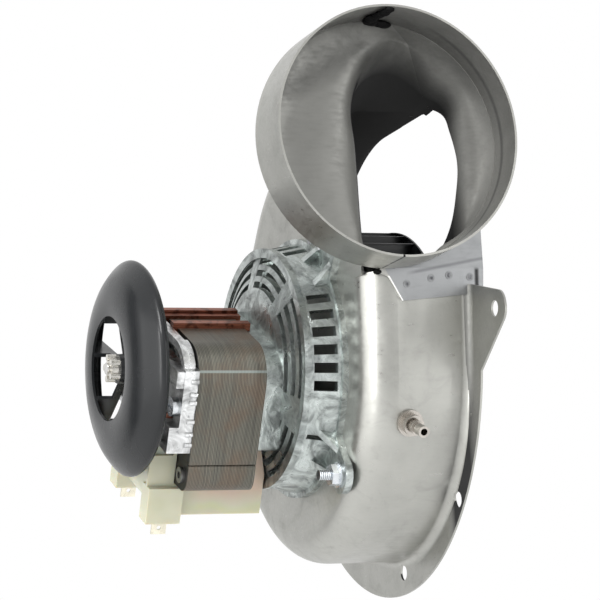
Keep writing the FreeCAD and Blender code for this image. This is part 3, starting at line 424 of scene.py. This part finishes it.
# ---------------------------------------------------------------- a material for each node
ZINC_TONE = (0.72, 0.75, 0.78)
BRONZE_TONE = (0.55, 0.38, 0.2)
# depth_tone sets how dark the painted shade inside the outlet is; the rear piece's is darker and loses
# more shine
steel = drawn_steel("drawn_steel", (0.40, 0.40, 0.375), gloss=0.33, depth_tone=0.674, depth_shade_rough=0.12)
rear_steel = drawn_steel("drawn_steel_rear", (0.39, 0.388, 0.365), gloss=0.38, depth_tone=0.395,
                         depth_shade_rough=0.34, depth_shade_dull=0.6, strap=True)
cast = cast_metal("cast_metal")
zinc = plain_metal("zinc_plate", ZINC_TONE, 0.24)
wheel_black = black_plastic("wheel_black", 0.36)
MATERIALS = {
    "scroll_housing": steel,
    "outlet_rear": rear_steel,
    "seam_sealant": dull("sealant", (0.006, 0.006, 0.006), 0.7, 0.08),
    "pressure_tap": plain_metal("tap_steel", (0.52, 0.49, 0.45), 0.22),
    "tap_nut": zinc,
    "motor_mount": cast,
    "mount_studs": threaded("stud_thread", ZINC_TONE, 0.28),
    "mount_nuts": zinc,
    "stator_core": laminations("core_sheets", GROOVE_HEIGHT),
    "coil_bar": laminations("bar_sheets"),
    "stator_rivets": plain_metal("rivet_steel", (0.30, 0.30, 0.29), 0.35),
    "shading_rings": copper("ring_copper", (0.33, 0.12, 0.075), 0.42),
    "coil_bobbin": nylon("nylon"),
    "coil_winding": copper("winding_copper"),
    "terminal_blades": plain_metal("tinned_brass", (0.80, 0.76, 0.62), 0.28),
    "rear_bracket": cast_metal("bracket_metal", (0.78, 0.79, 0.79)),
    "motor_screws": zinc,
    "front_bearing": plain_metal("bronze", BRONZE_TONE, 0.4),
    "rear_bearing": plain_metal("bronze_rear", BRONZE_TONE, 0.4),
    "front_bearing_clip": zinc,
    "rear_bearing_clip": zinc,
    "shaft": plain_metal("shaft_steel", (0.72, 0.71, 0.69), 0.2),
    "rotor_core": laminations("rotor_sheets"),
    "rotor_end_rings": cast,
    "thrust_washers": dull("fibre", (0.10, 0.06, 0.04), 0.6),
    "wheel_plate": wheel_black,
    "wheel_hub": plain_metal("hub_steel", (0.5, 0.5, 0.5), 0.3),
    "wheel_blades": wheel_black,
    "wheel_ring": wheel_black,
    "hub_set_screw": plain_metal("black_oxide", (0.08, 0.08, 0.08), 0.35),
    "cooling_fan": black_plastic("fan_black", 0.24),
    "fan_retainer": plain_metal("retainer_metal", (0.74, 0.72, 0.67), 0.25),
}

for name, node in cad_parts.items():
    for slot in node.material_slots:
        slot.material = MATERIALS[name]


# ---------------------------------------------------------------- sealant
BEAD_ROUTE = ((104.3, -38.7), (97.0, -39.6), (90.0, -41.0), (86.0, -41.0), (84.4, -36.0), (83.2, -30.6))
BEAD_STEP = 0.8
SMOOTH_END_X = 102


def lumps(name, spots, material):
    """Overlapping squashed balls of paste, joined as one mesh."""
    mesh = bmesh.new()
    for place, radius in spots:
        stretch = [radius * random.uniform(0.85, 1.2) for _ in range(2)] + [radius * 0.55]
        turn = Matrix.Rotation(random.uniform(0, math.pi), 4, "Z")
        squash = Matrix.Diagonal([length * MM for length in stretch] + [1.0])
        shape = Matrix.Translation(Vector(place) * MM) @ turn @ squash
        bmesh.ops.create_icosphere(mesh, subdivisions=3, radius=1.0, matrix=shape)
    data = bpy.data.meshes.new(name)
    mesh.to_mesh(data)
    mesh.free()
    data.materials.append(material)
    for face in data.polygons:
        face.use_smooth = True
    piece = bpy.data.objects.new(name, data)
    bpy.context.scene.collection.objects.link(piece)
    return piece


def bead_spots():
    """Bent bead of sealant inside the top of the collar: in from the rim, then toward the back."""
    route = [Vector(point) for point in BEAD_ROUTE]
    spots = []
    for start, end in zip(route, route[1:]):
        steps = max(2, round((end - start).length / BEAD_STEP))
        for step in range(steps):
            x, y = start.lerp(end, step / steps)
            x += random.uniform(-0.35, 0.35) if x < SMOOTH_END_X else 0
            y += random.uniform(-0.7, 0.7)
            z = COLLAR_Z + math.sqrt(COLLAR_INSIDE ** 2 - (y - COLLAR_Y) ** 2) - 0.9
            spots.append(((x, y, z), random.uniform(1.6, 2.5)))
    return spots


random.seed(7)
sealant_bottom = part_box("seam_sealant")[0][2] / MM
dab_below_strap = ((77.7, -40.6, sealant_bottom + 2.0), 1.9)
sealant = lumps("sealant_bead", bead_spots() + [dab_below_strap], MATERIALS["seam_sealant"])
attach(sealant, "housing")
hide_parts("seam_sealant")


# ---------------------------------------------------------------- stage and light, in metres
FLOOR_Z = -0.34
FLOOR_SIZE = 12.0


def plain_material(name, tone):
    material = bpy.data.materials.new(name)
    material.use_nodes = True
    shader = material.node_tree.nodes["Principled BSDF"]
    shader.inputs["Base Color"].default_value = (tone, tone, tone, 1.0)
    shader.inputs["Roughness"].default_value = 0.9
    return material


def turned_to(place, aim):
    """Rotation that points an object's -Z from its place to the aim."""
    return (Vector(aim) - Vector(place)).to_track_quat("-Z", "Y").to_euler()


def area_light(name, place, aim, width, height, power):
    data = bpy.data.lights.new(name, "AREA")
    data.shape = "RECTANGLE"
    data.size = width
    data.size_y = height
    data.energy = power
    light = bpy.data.objects.new(name, data)
    bpy.context.scene.collection.objects.link(light)
    light.location = place
    light.rotation_euler = turned_to(place, aim)


def dark_panel(name, place, width, height):
    """Black board outside the view, which gives the metal its dark reflections."""
    bpy.ops.mesh.primitive_plane_add(size=1.0, location=place)
    panel = bpy.context.object
    panel.name = name
    panel.scale = (width, height, 1.0)
    panel.rotation_euler = turned_to(place, (0, 0, 0))
    panel.data.materials.append(plain_material(name + "_black", 0.01))


bpy.context.scene.view_settings.view_transform = "Standard"
bpy.ops.mesh.primitive_plane_add(size=FLOOR_SIZE, location=(0, 0, FLOOR_Z))
floor = bpy.context.object
floor.name = "floor"
floor.data.materials.append(plain_material("floor_white", 0.9))

world = bpy.data.worlds.new("studio")
bpy.context.scene.world = world
world.use_nodes = True
background = world.node_tree.nodes["Background"]
background.inputs["Color"].default_value = (1.0, 1.0, 1.0, 1.0)
background.inputs["Strength"].default_value = 1.0

area_light("key", (0.75, -0.75, 0.75), (0, -0.03, 0.02), 0.35, 0.5, 9)
area_light("front_box", (0.05, -1.3, 0.1), (0.05, 0, 0), 0.9, 1.2, 5.4)
area_light("front_strip", (0.55, -1.1, 0.1), (0.05, -0.05, 0), 0.12, 0.9, 5)
area_light("back_strip", (0.9, 0.75, -0.05), (0.07, 0, 0), 0.10, 0.9, 4)
dark_panel("panel_left", (-0.78, -1.04, 0.1), 0.45, 1.6)
dark_panel("panel_right", (0.75, 1.25, 0.1), 0.9, 1.6)


# ---------------------------------------------------------------- camera
CAMERA_PLACE = (1213.04, -541.97, -212.40)
AZIMUTH, TILT = math.radians(22.0), math.radians(1.1637)
# in the view the object leans by this angle about its shaft, so the camera turns about Y
LEAN = math.radians(10.0)

camera_data = bpy.data.cameras.new("camera")
camera_data.lens = 192.0
camera_data.sensor_width = 36.0
camera_data.clip_end = 50.0
camera = bpy.data.objects.new("camera", camera_data)
bpy.context.scene.collection.objects.link(camera)
right = Vector((math.sin(AZIMUTH), math.cos(AZIMUTH), 0.0))
ahead = Vector((-math.cos(AZIMUTH) * math.cos(TILT), math.sin(AZIMUTH) * math.cos(TILT), math.sin(TILT)))
upright_axes = Matrix((right, right.cross(ahead), -ahead)).transposed()
camera.matrix_world = (Matrix.Rotation(LEAN, 3, "Y") @ upright_axes).to_4x4()
camera.location = Vector(CAMERA_PLACE) * MM
bpy.context.scene.camera = camera
